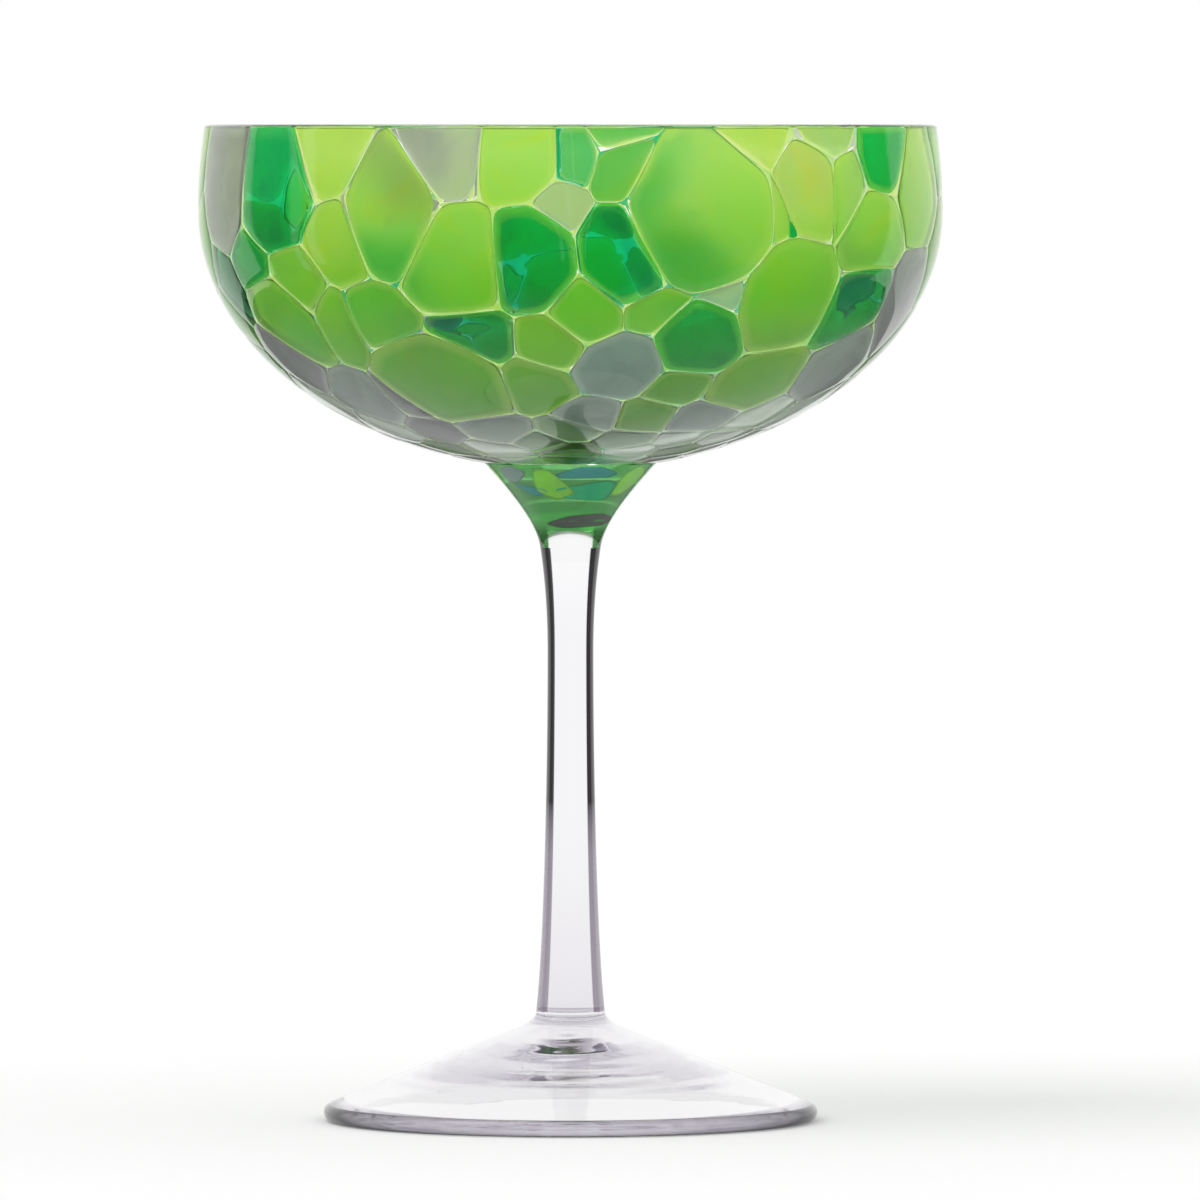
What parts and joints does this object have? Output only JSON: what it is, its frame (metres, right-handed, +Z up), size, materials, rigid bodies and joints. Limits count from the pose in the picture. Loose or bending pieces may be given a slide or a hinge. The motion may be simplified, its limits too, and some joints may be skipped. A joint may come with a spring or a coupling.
{
  "type": "champagne coupe",
  "caption": "Blown-glass champagne coupe: wide shallow bowl with a mosaic of green and grey glass chips, solid green neck, drawn clear stem and hollow conical foot.",
  "frame": {"origin": "middle of the ring that the foot rests on, on the table", "axes": "+Z up along the axis of the glass, -Y towards the pictured side"},
  "size_m": [0.1119, 0.1118, 0.15],
  "materials": {
    "clear_glass": "fire polished",
    "green_glass": "fire polished",
    "lime_glass": "fire polished, slightly milky",
    "emerald_glass": "fire polished",
    "grey_glass": "opal",
    "pale_glass": "opal",
    "teal_glass": "fire polished"
  },
  "bodies": {
    "root": {"bowl_lining": "clear_glass", "bowl_neck": "green_glass", "emerald_chip_01": "emerald_glass", "emerald_chip_02": "emerald_glass", "emerald_chip_03": "emerald_glass", "emerald_chip_04": "emerald_glass", "emerald_chip_05": "emerald_glass", "emerald_chip_06": "emerald_glass", "emerald_chip_07": "emerald_glass", "emerald_chip_08": "emerald_glass", "emerald_chip_09": "emerald_glass", "emerald_chip_10": "emerald_glass", "emerald_chip_11": "emerald_glass", "emerald_chip_12": "emerald_glass", "emerald_chip_13": "emerald_glass", "foot": "clear_glass", "grey_chip_01": "grey_glass", "grey_chip_02": "grey_glass", "grey_chip_03": "grey_glass", "grey_chip_04": "grey_glass", "grey_chip_05": "grey_glass", "grey_chip_06": "grey_glass", "grey_chip_07": "grey_glass", "grey_chip_08": "grey_glass", "grey_chip_09": "grey_glass", "grey_chip_10": "grey_glass", "lime_chip_01": "lime_glass", "lime_chip_02": "lime_glass", "lime_chip_03": "lime_glass", "lime_chip_04": "lime_glass", "lime_chip_05": "lime_glass", "lime_chip_06": "lime_glass", "lime_chip_07": "lime_glass", "lime_chip_08": "lime_glass", "lime_chip_09": "lime_glass", "lime_chip_10": "lime_glass", "lime_chip_11": "lime_glass", "lime_chip_12": "lime_glass", "lime_chip_13": "lime_glass", "lime_chip_14": "lime_glass", "lime_chip_15": "lime_glass", "lime_chip_16": "lime_glass", "lime_chip_17": "lime_glass", "lime_chip_18": "lime_glass", "lime_chip_19": "lime_glass", "lime_chip_20": "lime_glass", "lime_chip_21": "lime_glass", "lime_chip_22": "lime_glass", "lime_chip_23": "lime_glass", "lime_chip_24": "lime_glass", "lime_chip_25": "lime_glass", "lime_chip_26": "lime_glass", "lime_chip_27": "lime_glass", "lime_chip_28": "lime_glass", "lime_chip_29": "lime_glass", "lime_chip_30": "lime_glass", "pale_chip_01": "pale_glass", "pale_chip_02": "pale_glass", "stem": "clear_glass", "teal_chip_01": "teal_glass"}
  },
  "joints": []
}
